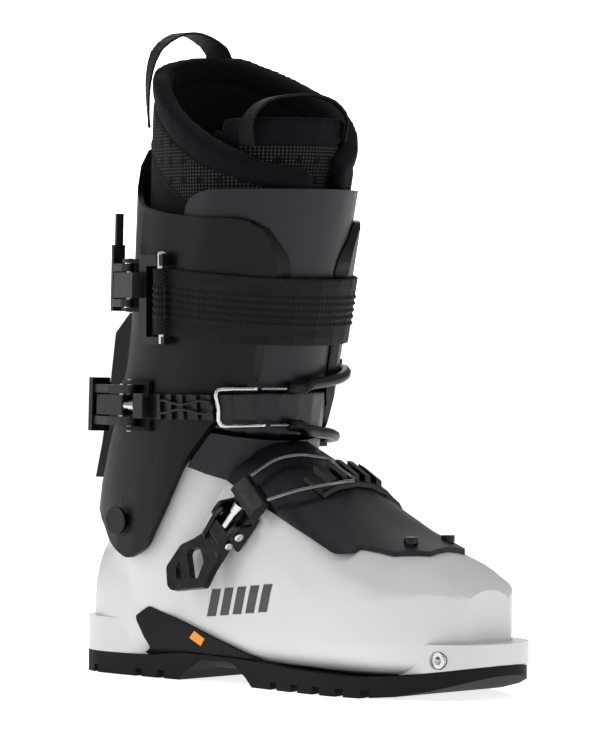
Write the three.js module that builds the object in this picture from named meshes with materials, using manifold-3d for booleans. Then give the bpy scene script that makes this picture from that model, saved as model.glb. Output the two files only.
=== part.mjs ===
// Alpine touring boot for the right foot, mondo size 26.5 to 27, in millimetres.
// +X points to the toe, +Y to the inner (medial) side and +Z up; the buckles are on the outer (-Y) side.
// The origin is the centre of the heel tread's underside, on the ground.
import * as THREE from 'three';
import { mergeVertices } from 'three/addons/utils/BufferGeometryUtils.js';
import Module from 'manifold-3d';

const wasm = await Module();
wasm.setup();

// ---------------------------------------------------------------- driving dimensions
const HEEL_BACK = -37; // rear end of the sole
const SOLE_LENGTH = 299;
const TOE_TIP = HEEL_BACK + SOLE_LENGTH;
const LIP_HALF_WIDTH = 34.5; // toe lip and heel ledge
const SHELL_WALL = 4.5;
const PIVOT = { x: 20, z: 85 }; // ankle hinge between lower shell and cuff
const GAP = 0.35; // running and parting clearance
const TONGUE = { inner: 0.4, outer: 3.0 }; // offsets from the master form
const CUFF = { inner: 3.8, outer: 7.2 };
const RING_POINTS = 28;
const INNER_POINTS = 20; // rings of the plain inner forms

// ---------------------------------------------------------------- materials
const plastic = (color, roughness = 0.5) => new THREE.MeshStandardMaterial({ color, roughness,
  metalness: 0 });
const metal = (color, roughness = 0.3) => new THREE.MeshStandardMaterial({ color, roughness,
  metalness: 1 });
const MATERIAL = {
  white: plastic(0xdcdddd, 0.42),
  navy: plastic(0x23262d, 0.4),
  charcoal: plastic(0x1d1e20, 0.5),
  buckle: plastic(0x161616, 0.4),
  rubber: plastic(0x1b1b1b, 0.8),
  foam: plastic(0x121319, 0.95),
  webbing: plastic(0x171717, 0.85),
  steel: metal(0xc9cbcd),
};

// ---------------------------------------------------------------- helpers: curves, solids, placing
// Monotone cubic through [x, value] knots.
function curve(knots) {
  const n = knots.length;
  const slope = knots.slice(1).map(([x, v], i) => (v - knots[i][1]) / (x - knots[i][0]));
  const tangent = knots.map((_, i) => {
    if (i === 0) return slope[0];
    if (i === n - 1) return slope[n - 2];
    const [a, b] = [slope[i - 1], slope[i]];
    return a * b <= 0 ? 0 : (2 * a * b) / (a + b);
  });
  return (x) => {
    if (x <= knots[0][0]) return knots[0][1];
    if (x >= knots[n - 1][0]) return knots[n - 1][1];
    let i = 0;
    while (x > knots[i + 1][0]) i += 1;
    const width = knots[i + 1][0] - knots[i][0];
    const t = (x - knots[i][0]) / width;
    const [t2, t3] = [t * t, t * t * t];
    return (2 * t3 - 3 * t2 + 1) * knots[i][1] + (t3 - 2 * t2 + t) * width * tangent[i]
      + (-2 * t3 + 3 * t2) * knots[i + 1][1] + (t3 - t2) * width * tangent[i + 1];
  };
}

const power = (value, exponent) => Math.sign(value) * Math.abs(value) ** exponent;
const range = (from, to, count) => Array.from({ length: count }, (_,
  i) => from + ((to - from) * i) / (count - 1));

function solid(geometry) {
  const plain = geometry.index ? geometry.toNonIndexed() : geometry.clone();
  const bare = new THREE.BufferGeometry().setAttribute('position', plain.getAttribute('position'));
  const merged = mergeVertices(bare, 1e-3);
  const triVerts = new Uint32Array(merged.index.array);
  const make = () => new wasm.Manifold(new wasm.Mesh({
    numProp: 3, vertProperties: merged.attributes.position.array, triVerts,
  }));
  const made = make();
  if (made.volume() >= 0) return made;
  for (let i = 0; i < triVerts.length; i += 3) {
    [triVerts[i + 1], triVerts[i + 2]] = [triVerts[i + 2], triVerts[i + 1]];
  }
  return make();
}

function geometryOf(body) {
  const found = body.getMesh();
  const position = new Float32Array(found.numVert * 3);
  for (let i = 0; i < found.numVert; i += 1) {
    position.set(found.vertProperties.subarray(i * found.numProp, i * found.numProp + 3), i * 3);
  }
  const geometry = new THREE.BufferGeometry();
  geometry.setAttribute('position', new THREE.BufferAttribute(position, 3));
  geometry.setIndex(new THREE.BufferAttribute(new Uint32Array(found.triVerts), 1));
  geometry.computeVertexNormals();
  return geometry;
}

// A closed body through rings of points that correspond, with flat ends.
function loft(rings) {
  const count = rings[0].length;
  const position = [];
  const index = [];
  rings.forEach((ring) => ring.forEach((p) => position.push(p.x, p.y, p.z)));
  for (let r = 0; r + 1 < rings.length; r += 1) {
    for (let i = 0; i < count; i += 1) {
      const j = (i + 1) % count;
      const [a, b, c, d] = [r * count + i, r * count + j, (r + 1) * count + j, (r + 1) * count + i];
      index.push(a, b, c, a, c, d);
    }
  }
  [[0, true], [rings.length - 1, false]].forEach(([r, first]) => {
    const middle = rings[r].reduce((sum, p) => sum.add(p), new THREE.Vector3()).divideScalar(count);
    const centre = position.length / 3;
    position.push(middle.x, middle.y, middle.z);
    for (let i = 0; i < count; i += 1) {
      const [a, b] = [r * count + i, r * count + ((i + 1) % count)];
      if (first) index.push(centre, b, a);
      else index.push(centre, a, b);
    }
  });
  const geometry = new THREE.BufferGeometry();
  geometry.setAttribute('position', new THREE.Float32BufferAttribute(position, 3));
  geometry.setIndex(index);
  return solid(geometry);
}

// A shape with every corner rounded by the given radius (a third entry on a point overrides it).
function rounded(points, radius = 0) {
  const shape = new THREE.Shape();
  const count = points.length;
  points.forEach(([x, y, own], i) => {
    const here = new THREE.Vector2(x, y);
    const before = new THREE.Vector2(...points[(i + count - 1) % count].slice(0, 2));
    const after = new THREE.Vector2(...points[(i + 1) % count].slice(0, 2));
    const reach = Math.min(own ?? radius, before.distanceTo(here) * 0.49, after.distanceTo(here) * 0.49);
    const start = here.clone().lerp(before, reach / before.distanceTo(here));
    const end = here.clone().lerp(after, reach / after.distanceTo(here));
    if (i === 0) shape.moveTo(start.x, start.y);
    else shape.lineTo(start.x, start.y);
    if (reach > 0) shape.quadraticCurveTo(here.x, here.y, end.x, end.y);
  });
  shape.closePath();
  return shape;
}

const extrude = (shape, depth, curveSegments = 3) => (
  new THREE.ExtrudeGeometry(shape, { depth, bevelEnabled: false, curveSegments }));
// A prism whose outline is drawn in the side view (x, z), reaching from y0 to y1.
const sidePrism = (points, y0, y1, radius = 0) => (
  solid(extrude(rounded(points, radius), y1 - y0).rotateX(Math.PI / 2).translate(0, y1, 0)));
// A prism whose outline is drawn in plan (x, y), reaching from z0 to z1.
const planPrism = (points, z0, z1, radius = 0) => (
  solid(extrude(rounded(points, radius), z1 - z0).translate(0, 0, z0)));
const box = (x0, x1, y0, y1, z0, z1) => solid(
  new THREE.BoxGeometry(x1 - x0, y1 - y0, z1 - z0).translate((x0 + x1) / 2, (y0 + y1) / 2, (z0 + z1) / 2));
const union = (...bodies) => bodies.reduce((all, body) => all.add(body));

// A round bar from one point to another.
function bar(from, to, radius, sides = 12, endRadius = radius) {
  const [a, b] = [new THREE.Vector3(...from), new THREE.Vector3(...to)];
  const axis = b.clone().sub(a);
  const turn = new THREE.Quaternion().setFromUnitVectors(new THREE.Vector3(0, 1, 0),
    axis.clone().normalize());
  const geometry = new THREE.CylinderGeometry(endRadius, radius, axis.length(), sides);
  geometry.applyQuaternion(turn).translate(...a.add(b).multiplyScalar(0.5).toArray());
  return solid(geometry);
}

// A round section swept along a smooth line.
function sweep(points, radius, sides, steps) {
  const path = new THREE.CatmullRomCurve3(points.map((p) => new THREE.Vector3(...p)));
  const section = new THREE.Shape().absarc(0, 0, radius, 0, Math.PI * 2);
  const geometry = new THREE.ExtrudeGeometry(section, {
    steps, extrudePath: path, bevelEnabled: false, curveSegments: sides / 2,
  });
  return solid(geometry);
}

const root = new THREE.Group();
function addTo(group, name, body, material) {
  const mesh = new THREE.Mesh(body.isBufferGeometry ? body : geometryOf(body), material);
  mesh.name = name;
  group.add(mesh);
  return mesh;
}
const add = (name, body, material) => addTo(root, name, body, material);

// ---------------------------------------------------------------- master forms
// Foot part: stations along x, each a section with a boxy lower half and an arched upper half.
const FOOT = {
  lateral: curve([[-34, 8], [-32, 15], [-28, 21.5], [-22, 27], [-14, 31.5], [-4, 34.5], [12, 36.5], [40,
    37],
    [70, 38], [110, 42.5], [150, 48], [185, 51], [208, 48.5], [224, 42], [236, 34], [244, 26], [249, 17]]),
  medial: curve([[-34, 8], [-32, 15], [-28, 21.5], [-22, 27], [-14, 31.5], [-4, 34.5], [12, 36.5], [40, 36],
    [70, 36], [110, 38.5], [150, 43.5], [185, 48], [205, 47], [220, 42], [232, 34.5], [242, 24.5], [249,
      14]]),
  top: curve([[-34, 42], [-32, 56], [-28, 70], [-22, 79], [-10, 88], [10, 97], [30, 108], [60, 121], [85,
    129],
    [100, 128], [120, 120], [142, 108.5], [165, 95.5], [193, 82], [210, 76.5], [225, 72], [238, 65], [246,
      59], [249, 56]]),
  shoulder: curve([[-34, 34], [-20, 40], [0, 48], [60, 55], [110, 50], [160, 48], [217, 51], [240, 54],
    [249, 50]]),
  upperPower: curve([[-34, 2], [60, 2.3], [110, 2.4], [165, 2.1], [205, 1.8], [235, 1.6], [249, 1.6]]),
  lowerPower: 4,
  bottom: 9,
  stations: [-34, -32, -28, -20, -6, 15, 40, 65, 88, 105, 122, 142, 165, 188, 208, 224, 236, 244, 249],
};

function footForm(offset, bottom = FOOT.bottom - offset, points = RING_POINTS, every = 1) {
  const [heel, toe] = [FOOT.stations[0] - offset, FOOT.stations.at(-1) + offset];
  const between = FOOT.stations.filter((x, i) => x > heel + 1 && x < toe - 1 && i % every === 0);
  return loft([heel, ...between, toe].map((station) => {
    const shoulder = FOOT.shoulder(station);
    return range(0, 1, points + 1).slice(0, -1).map((part) => {
      const angle = part * 2 * Math.PI;
      const upper = Math.sin(angle) > 0;
      const exponent = 2 / (upper ? FOOT.upperPower(station) : FOOT.lowerPower);
      const half = Math.cos(angle) > 0 ? FOOT.medial(station) : FOOT.lateral(station);
      const height = upper ? FOOT.top(station) + offset - shoulder : shoulder - bottom;
      return new THREE.Vector3(
        station,
        (half + offset) * power(Math.cos(angle), exponent),
        shoulder + height * power(Math.sin(angle), exponent),
      );
    });
  }));
}

// Leg and ankle parts: level egg-shaped sections between a back line and a front line, narrower behind.
const EGG = 0.2;
const LEG = {
  back: curve([[60, -32], [104, -25], [130, -16.5], [158, -5.5], [177, -0.5], [200, 2.8], [230, 5], [262,
    7],
    [290, 8.5], [345, 12]]),
  front: curve([[60, 93], [104, 99.7], [130, 103.7], [158, 107.5], [177, 111], [200, 115.5], [230, 122],
    [262, 128.6],
    [290, 134], [345, 140]]),
  half: curve([[60, 42], [88, 42.5], [138, 43.5], [165, 44.5], [206, 46], [267, 48.5], [295, 50], [345,
    51]]),
};
const ANKLE = {
  back: curve([[30, -31], [78, -30], [90, -26], [100, -21.5], [115, -16.5], [134, -10], [150, -3]]),
  front: curve([[30, 90], [110, 99], [150, 103]]),
  half: curve([[30, 37], [60, 41], [88, 43], [115, 42.5], [150, 41.5]]),
};

function eggAt(form, z, offset, angle) {
  const [back, front] = [form.back(z) - offset, form.front(z) + offset];
  return new THREE.Vector3(
    (back + front) / 2 + ((front - back) / 2) * Math.cos(angle),
    (form.half(z) + offset) * Math.sin(angle) * (1 + EGG * Math.cos(angle)),
    z,
  );
}
const eggForm = (form, offset, levels, points = RING_POINTS) => loft(levels.map((z) => (
  range(0, 1, points + 1).slice(0, -1).map((part) => eggAt(form, z, offset, part * 2 * Math.PI)))));
const legForm = (offset, z0 = 60, z1 = 300, steps = 10, points = RING_POINTS) => (
  eggForm(LEG, offset, range(z0, z1, steps), points));
const ankleForm = (offset, z0 = 34, z1 = 148, points = RING_POINTS) => eggForm(ANKLE, offset,
  [z0, ...[60, 78, 90, 102, 118, 134].filter((z) => z > z0 + 2 && z < z1 - 2), z1], points);

// Distance from the mid plane to the leg's surface.
function legHalf(x, z, offset) {
  const [back, front] = [LEG.back(z) - offset, LEG.front(z) + offset];
  const u = Math.max(-1, Math.min(1, (2 * x - back - front) / (front - back)));
  return (LEG.half(z) + offset) * Math.sqrt(1 - u * u) * (1 + EGG * u);
}

// Outline of an oval in plan, used for the toe lip and the heel ledge.
const planOval = (cx, rx, ry, exponent, count = 40) => range(0, 1, count + 1).slice(0, -1).map((part) => {
  const angle = part * 2 * Math.PI;
  return [cx + rx * power(Math.cos(angle), 2 / exponent), ry * power(Math.sin(angle), 2 / exponent)];
});

// ---------------------------------------------------------------- lower shell and sole
// Parting line between white shell and rubber, seen from the side.
const SOLE_TOP = curve([[-42, 12], [25, 12], [55, 15], [115, 14.5], [150, 12], [195, 11], [233, 14], [264,
  18.5]]);
const SOLE_STATIONS = [-42, 25, 40, 55, 85, 115, 132, 150, 172, 195, 215, 233, 248, 264];
const TOE_SOCKET = { x: 242, z: 21, radius: 4.4, inner: 27 };
const HEEL_PLATE = { half: 12, z0: 14, z1: 29, depth: 4 };
// Upper rim of the lower shell: collar behind, then the throat down to the toe box.
const THROAT = [[-70, 134], [-5, 139], [36, 139], [46, 126], [61, 121], [122, 100], [183, 79.5], [196,
  79.5]];

function lowerShell() {
  const lip = planPrism(planOval(228, TOE_TIP - 228, LIP_HALF_WIDTH, 2.2), 8, 29);
  const ledge = planPrism(planOval(3, 3 - HEEL_BACK, LIP_HALF_WIDTH + 0.5, 2.6), 8, 31);
  const outside = union(footForm(0), ankleForm(0), lip, ledge);
  const inside = union(footForm(-SHELL_WALL, 20, INNER_POINTS, 2), ankleForm(-SHELL_WALL, 34, 170,
    INNER_POINTS));
  const below = sidePrism([...SOLE_STATIONS.map((x) => [x, SOLE_TOP(x)]), [264, -5], [-42, -5]], -70, 70);
  const above = sidePrism([...THROAT, [196, 230], [-70, 230]], -70, 70);
  let shell = outside.subtract(inside).subtract(below).subtract(above);
  [-1, 1].forEach((side) => {
    const { x, z, radius, inner } = TOE_SOCKET;
    shell = shell.subtract(bar([x, side * inner, z], [x, side * 45, z], radius + GAP, 16));
    shell = shell.subtract(bar([PIVOT.x, side * 30, PIVOT.z], [PIVOT.x, side * 50, PIVOT.z], 4 + GAP, 16));
  });
  const { half, z0, z1, depth } = HEEL_PLATE;
  shell = shell.subtract(box(HEEL_BACK - 3, HEEL_BACK + depth, -half - GAP, half + GAP, z0 - GAP,
    z1 + GAP));
  return shell.subtract(bar([HEEL_BACK, 0, 21.5], [HEEL_BACK + 15, 0, 21.5], 2.6, 12));
}

// Side view of the rubber's underside: heel tread, open arch, forefoot tread and toe rocker.
const TREAD = [[-35, 0], [54, 0], [60, 5], [72, 12], [98, 12], [110, 5], [116, 0], [200, 0], [220, 1.6],
  [239, 5.4], [252, 9.2], [TOE_TIP, 12.8]];
const WING = [[13, 8], [31, 16], [23, 33], [34, 39], [42, 37], [141, 8.5], [120, 7], [60, 7]];
const SOLE_EDGE = {
  lateral: curve([[-37, 9], [-34, 19], [-27, 27.5], [-14, 33], [8, 35], [40, 35.5], [75, 36], [110, 40.5],
    [150, 46.5], [180, 49], [202, 47], [220, 41], [232, 35.5], [242, 31], [252, 24.5], [259, 15], [262,
      7]]),
  medial: curve([[-37, 9], [-34, 19], [-27, 27.5], [-14, 33], [8, 35], [40, 34.5], [75, 34], [110, 36.5],
    [150, 41.5], [180, 46.5], [202, 46], [218, 41], [232, 35], [242, 31], [252, 24.5], [259, 15], [262,
      7]]),
  stations: [-37, -34, -27, -14, 8, 40, 75, 110, 150, 180, 202, 219, 232, 242, 252, 259, 262],
};
const GROOVE = { depth: 4.2, width: 5 };
const HEEL_GROOVES = [-16, 22, 40];
const FOREFOOT_GROOVES = [132, 149, 166, 183, 200];

function outsole() {
  const edge = (half, side) => SOLE_EDGE.stations.map((x) => [x, side * half(x)]);
  const plan = planPrism([...edge(SOLE_EDGE.lateral, -1), ...edge(SOLE_EDGE.medial, 1).reverse()], -2, 40);
  const profile = sidePrism([...TREAD, [264, 13.5], ...SOLE_STATIONS.map((x) => [x,
    SOLE_TOP(x) - GAP]).reverse(),
    [-42, 0]], -60, 60);
  let sole = plan.intersect(profile);
  const skin = footForm(2.6, 6).subtract(footForm(GAP, 9)).subtract(ankleForm(GAP));
  const groove = (x, y, length, turn) => solid(
    new THREE.BoxGeometry(GROOVE.width, length, GROOVE.depth * 2).rotateZ(turn).translate(x, y, 0));
  [-1, 1].forEach((side) => {
    const ledge = planPrism(planOval(3, 3 - HEEL_BACK + GAP, LIP_HALF_WIDTH + 0.5 + GAP, 2.6), 11,
      31 + GAP);
    const wing = sidePrism(WING, side > 0 ? 10 : -70, side > 0 ? 70 : -10, 2).intersect(skin);
    sole = sole.add(wing.subtract(ledge));
    HEEL_GROOVES.forEach((x) => { sole = sole.subtract(groove(x, side * 33, 30, side * 0.2)); });
    FOREFOOT_GROOVES.forEach((x) => { sole = sole.subtract(groove(x, side * 34, 44, side * -0.3)); });
  });
  return sole;
}

add('lower_shell', lowerShell(), MATERIAL.white);
add('outsole', outsole(), MATERIAL.rubber);

[['lateral', -1], ['medial', 1]].forEach(([name, side]) => {
  const { x, z, radius, inner } = TOE_SOCKET;
  const insert = bar([x, side * (inner + GAP), z], [x, side * (LIP_HALF_WIDTH - 2.4), z], radius, 16);
  const socket = bar([x, side * (inner + 2), z], [x, side * 38, z], 1, 12, 4.6);
  add(`toe_pin_socket_${name}`, insert.subtract(socket), MATERIAL.steel);
});

function heelPlate() {
  const { half, z0, z1, depth } = HEEL_PLATE;
  let plate = box(HEEL_BACK - 0.5, HEEL_BACK + depth - GAP, -half, half, z0, z1);
  [-1, 1].forEach((side) => {
    const slot = box(HEEL_BACK - 2, HEEL_BACK + 2.5, side * 6.5 - 1.6, side * 6.5 + 1.6, z0 - 1, 23);
    plate = plate.subtract(slot);
  });
  return plate.subtract(bar([HEEL_BACK - 2, 0, 21.5], [HEEL_BACK + 6, 0, 21.5], 2.6, 12));
}
add('heel_binding_plate', heelPlate(), MATERIAL.steel);
add('heel_plate_screw', bar([HEEL_BACK + 0.3, 0, 21.5], [HEEL_BACK + 12, 0, 21.5], 2.25, 12),
  MATERIAL.steel);
add('boot_board', footForm(-SHELL_WALL - 0.8, 20.4, INNER_POINTS, 2).intersect(box(-22, 228, -60, 60, 0,
  25)), MATERIAL.charcoal);

// ---------------------------------------------------------------- tongue
const bodyForm = (offset) => union(footForm(offset), legForm(offset, 96, 300, 9));
const TONGUE_LOW = [[57, 119], [64, 117.5, 2], [122, 96, 8], [180, 73], [198, 74.5], [224, 66], [236, 84],
  [206, 96],
  [150, 124], [116, 127], [92, 132], [72, 136]];
const TONGUE_HIGH = [[88, 157], [84, 170], [78, 200], [72, 235], [76, 257, 12], [90, 263, 10], [150, 263],
  [150, 157]];
const FLEX = [[82, 137], [94, 134], [117, 129.5], [128, 129.5], [128, 155], [90, 155]];
const TONGUE_SCREWS = { x: 206, y: 14, radius: 3.6 };
const tongueSkin = bodyForm(TONGUE.outer).subtract(bodyForm(TONGUE.inner));

function lowerTongue() {
  const toe = planPrism([[120, -54], [184, -54], [188, -33], [206, -27], [219, -13], [219, 13], [206, 27],
    [188, 33],
    [184, 54], [40, 54], [40, -54]], 50, 160);
  let tongue = tongueSkin.intersect(sidePrism(TONGUE_LOW, -60, 60, 3)).intersect(toe);
  [-1, 1].forEach((side) => {
    const { x, y, radius } = TONGUE_SCREWS;
    tongue = tongue.subtract(bar([x, side * y, 60], [x, side * y, 110], radius + GAP, 12));
  });
  return tongue.subtract(legForm(CUFF.outer + 1.4).intersect(sidePrism(CUFF_SIDE, -80, 80)));
}

// ---------------------------------------------------------------- cuff
const CUFF_SIDE = [[27, 64, 6], [43, 71, 5], [55, 90, 4], [72, 119, 5], [86, 136, 6], [105, 158, 8], [111,
  188, 10],
  [122, 222, 8], [120, 247, 18], [90, 248], [70, 250, 8], [30, 255, 8], [17, 262, 6], [7, 278, 6], [-1,
    294, 4],
  [-60, 294], [-60, 92], [-20, 90, 6], [-3, 81, 5], [9, 71, 5]];
const WINDOW = { half: 9, z0: 121.5, z1: 146 };
const PIVOT_HEAD = { radius: 7.6, shank: 3.9 };

function cuff() {
  const wall = legForm(CUFF.outer, 60, 300, 12).subtract(legForm(CUFF.inner, 55, 305, 12));
  let made = wall.intersect(sidePrism(CUFF_SIDE, -80, 80));
  made = made.subtract(box(-60, -5, -WINDOW.half, WINDOW.half, WINDOW.z0, WINDOW.z1));
  [-1, 1].forEach((side) => {
    made = made.subtract(bar([PIVOT.x, side * 30, PIVOT.z], [PIVOT.x, side * 70, PIVOT.z],
      PIVOT_HEAD.shank + 1, 16));
  });
  return made;
}

add('tongue_lower', lowerTongue(), MATERIAL.navy);
add('tongue_flex', tongueSkin.intersect(sidePrism(FLEX, -60, 60)), MATERIAL.navy);
add('tongue_upper', tongueSkin.intersect(sidePrism(TONGUE_HIGH, -60, 60, 4)), MATERIAL.navy);
[['lateral', -1], ['medial', 1]].forEach(([name, side]) => {
  const { x, y, radius } = TONGUE_SCREWS;
  const ground = FOOT.top(x) - 0.4;
  add(`tongue_screw_${name}`, bar([x, side * y, ground + 0.9], [x, side * y, ground + 4.6], radius, 12), MATERIAL.buckle);
});
add('cuff', cuff(), MATERIAL.charcoal);
[['lateral', -1], ['medial', 1]].forEach(([name, side]) => {
  const { x, z } = PIVOT;
  const face = legHalf(x + PIVOT_HEAD.radius, z, CUFF.outer) + 0.4;
  const rivet = union(
    bar([x, side * 38, z], [x, side * (face + 0.6), z], PIVOT_HEAD.shank, 16),
    bar([x, side * (face + 2), z], [x, side * face, z], PIVOT_HEAD.radius, 20),
  );
  add(`cuff_pivot_${name}`, rivet, MATERIAL.buckle);
});

// ---------------------------------------------------------------- liner
const FOAM = { lower: -5.4, shaft: -0.6, thickness: 8 };
const linerSkin = (offset) => union(
  footForm(offset, 26 + (FOAM.lower - offset), INNER_POINTS, 2),
  ankleForm(offset, 36, 118, INNER_POINTS),
);
function linerFoot() {
  const cavity = union(
    footForm(FOAM.lower - FOAM.thickness, 34, INNER_POINTS, 2),
    ankleForm(FOAM.lower - FOAM.thickness, 44, 130, INNER_POINTS),
  );
  const cap = sidePrism([[-60, 0], [300, 0], [300, 72], [150, 98], [110, 117], [-60, 117]], -70, 70);
  return linerSkin(FOAM.lower).subtract(cavity).intersect(cap);
}
const linerShaft = (z0, z1, steps) => legForm(FOAM.shaft, z0, z1, steps)
  .subtract(legForm(FOAM.shaft - FOAM.thickness, z0 - 5, z1 + 5, steps, INNER_POINTS));
// A prism like sidePrism whose top rises towards the inner side by `lean` per millimetre.
const leaningPrism = (points, y0, y1, lean) => solid(
  extrude(rounded(points), y1 - y0).rotateX(Math.PI / 2).translate(0, y1, 0)
    .applyMatrix4(new THREE.Matrix4().makeShear(0, 0, 0, lean, 0, 0)));
const COLLAR_LEAN = 0.22;
const COLLAR = [[-60, 130], [160, 130], [160, 262], [128, 271], [104, 290], [83, 302], [55, 317], [34, 329],
  [14, 334], [-60, 336]];
// The collar's two wings leave a slit at the front; the tongue stands inside them.
const LINER_SLIT = { x: 100, y0: -8, y1: 14, z: 214 };
const LINER_TONGUE = { x: 80, half: 33.5, z: 216, top: 300, outer: FOAM.shaft - FOAM.thickness - 0.5,
  thickness: 8 };
function linerCuff() {
  const { x, y0, y1, z } = LINER_SLIT;
  return linerShaft(150, 345, 9).intersect(leaningPrism(COLLAR, -80, 80, COLLAR_LEAN))
    .subtract(box(-80, 180, -80, 80, 100, 152)).subtract(box(x, 180, y0, y1, z, 360));
}
function linerTongue() {
  const { x, half, z, top, outer, thickness } = LINER_TONGUE;
  return legForm(outer, 205, 330, 5, INNER_POINTS).subtract(legForm(outer - thickness, 200, 335, 5,
    INNER_POINTS))
    .intersect(box(x, 180, -half, half, z, top));
}
add('liner_foot', linerFoot(), MATERIAL.foam);
add('liner_ankle', ankleForm(FOAM.lower, 118, 148, INNER_POINTS)
  .subtract(ankleForm(FOAM.lower - FOAM.thickness, 110, 155, INNER_POINTS)), MATERIAL.foam);
add('liner_cuff', linerCuff(), MATERIAL.foam);
add('liner_tongue', linerTongue(), MATERIAL.foam);
add('footbed', footForm(FOAM.lower - FOAM.thickness - 0.6, 34.2, INNER_POINTS, 2)
  .intersect(box(-16, 224, -60, 60, 30, 37)), MATERIAL.foam);

// ---------------------------------------------------------------- pull loops of webbing
// A flat ribbon along points; `turn` is the sideways part of its width direction at either end.
function ribbon(points, width, thickness, steps, turn) {
  const path = new THREE.CatmullRomCurve3(points.map((p) => new THREE.Vector3(...p)));
  return loft(range(0, 1, steps + 1).map((t) => {
    const [at, along] = [path.getPoint(t), path.getTangent(t)];
    const across = new THREE.Vector3(1, THREE.MathUtils.lerp(...turn, t), 0);
    across.addScaledVector(along, -across.dot(along)).normalize();
    const normal = new THREE.Vector3().crossVectors(along, across);
    return [[-1, -1], [1, -1], [1, 1], [-1, 1]].map(([a, b]) => at.clone()
      .addScaledVector(across, (a * width) / 2).addScaledVector(normal, (b * thickness) / 2));
  }));
}
const REAR_LOOP = [[15.6, -21.2, 298], [15, -21.8, 314], [15.8, -21.2, 328], [17.5, -17.5, 340], [19.5,
  -8, 347.5],
  [20.5, 2, 350], [21.3, 13, 347.5], [21.4, 24, 341], [21, 28.8, 330], [21.4, 29.8, 315], [22, 30, 300]];
const FRONT_LOOP = [[108, -36.8, 286], [108.5, -37.2, 299], [112, -29, 309], [116, -10, 313], [119, 4, 313],
  [121.5, 16, 309], [122.5, 23.5, 301], [120.5, 24, 289]];
add('rear_pull_loop', ribbon(REAR_LOOP, 15, 1.4, 20, [-1, 1]), MATERIAL.webbing);
add('tongue_pull_loop', ribbon(FRONT_LOOP, 14, 1.4, 18, [-0.2, -1]), MATERIAL.webbing);

// ---------------------------------------------------------------- walk mechanism on the cuff's back
const SPINE = { half: 13, z0: 106, z1: 197, rivets: [116, 184] };
const SPINE_BACK = curve([[106, -37], [126, -31.5], [158, -25], [186, -20.5], [197, -9]]);
const WALK = { x: -17.5, z: 166, half: 6.5, pin: 1.8 };
const backAt = (z) => LEG.back(z) - CUFF.outer;
function spine() {
  const levels = [106, 126, 158, 186, 197];
  const outline = [...levels.map((z) => [SPINE_BACK(z), z]), [10, SPINE.z1], [10, SPINE.z0]];
  let made = sidePrism(outline, -SPINE.half, SPINE.half).subtract(legForm(CUFF.outer + GAP));
  made = made.subtract(box(-60, 20, -WALK.half - 1, WALK.half + 1, 122.5, 174.5));
  SPINE.rivets.forEach((z) => { made = made.subtract(bar([-60, 0, z], [20, 0, z], 2.5, 12)); });
  return made.subtract(bar([WALK.x, -9, WALK.z], [WALK.x, 9, WALK.z], WALK.pin + GAP, 12));
}
function walkLever() {
  const { x, z, half, pin } = WALK;
  const lever = sidePrism([[x - 4, z + 4], [x + 3.5, z + 4], [x + 3.5, z - 6], [-20.8, 145], [-23.6, 134],
    [-24.6, 125],
    [-29.6, 124], [-29.6, 135], [-26, 148]], -half, half, 1);
  return lever.subtract(bar([x, -20, z], [x, 20, z], pin + GAP, 12))
    .subtract(box(-27.4, 0, 2.2 - half, half - 2.2, 128.4, z - 8));
}
add('spine_housing', spine(), MATERIAL.charcoal);
[['lower', SPINE.rivets[0]], ['upper', SPINE.rivets[1]]].forEach(([name, z]) => {
  const face = SPINE_BACK(z - 5) - GAP;
  const rivet = union(bar([backAt(z) - 1.2, 0, z], [face, 0, z], 2.2, 12), bar([face + 0.1, 0, z],
    [face - 2.2, 0, z], 4.6, 14, 3));
  add(`spine_rivet_${name}`, rivet, MATERIAL.steel);
});
add('walk_lever', walkLever(), MATERIAL.buckle);
add('walk_lever_pin', bar([WALK.x, -8.7, WALK.z], [WALK.x, 8.7, WALK.z], WALK.pin, 12), MATERIAL.steel);
const LOCK_CATCH = { x0: -22.5, half: 4, z0: 133, z1: 138.4 };
add('lock_catch', box(LOCK_CATCH.x0, 0, -LOCK_CATCH.half, LOCK_CATCH.half, LOCK_CATCH.z0, LOCK_CATCH.z1)
  .subtract(ankleForm(GAP)), MATERIAL.steel);

// ---------------------------------------------------------------- stands for the buckles
// Axes of a buckle: x towards the lever's tip, y out of the boot and z across the lever, upwards.
function buckleStand(name, origin, along, out) {
  const group = new THREE.Group();
  group.name = name;
  const u = new THREE.Vector3(...along).normalize();
  const n = new THREE.Vector3(...out);
  n.addScaledVector(u, -n.dot(u)).normalize();
  group.matrix.makeBasis(u, n, new THREE.Vector3().crossVectors(u, n)).setPosition(...origin);
  group.matrixAutoUpdate = false;
  root.add(group);
  return group;
}
// A stand on the outer side of the cuff, its x axis level and pointing back.
function cuffStand(name, x, z) {
  const y = (px, pz) => -legHalf(px, pz, CUFF.outer);
  const along = [-2, y(x - 1, z) - y(x + 1, z), 0];
  const slope = new THREE.Vector3(0, y(x, z + 1) - y(x, z - 1), 2);
  const out = new THREE.Vector3(...along).cross(slope).negate();
  return buckleStand(name, [x, y(x, z), z], along, out.y < 0 ? out.toArray() : out.negate().toArray());
}
const moved = (body, group) => solid(geometryOf(body).applyMatrix4(group.matrix));

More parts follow.
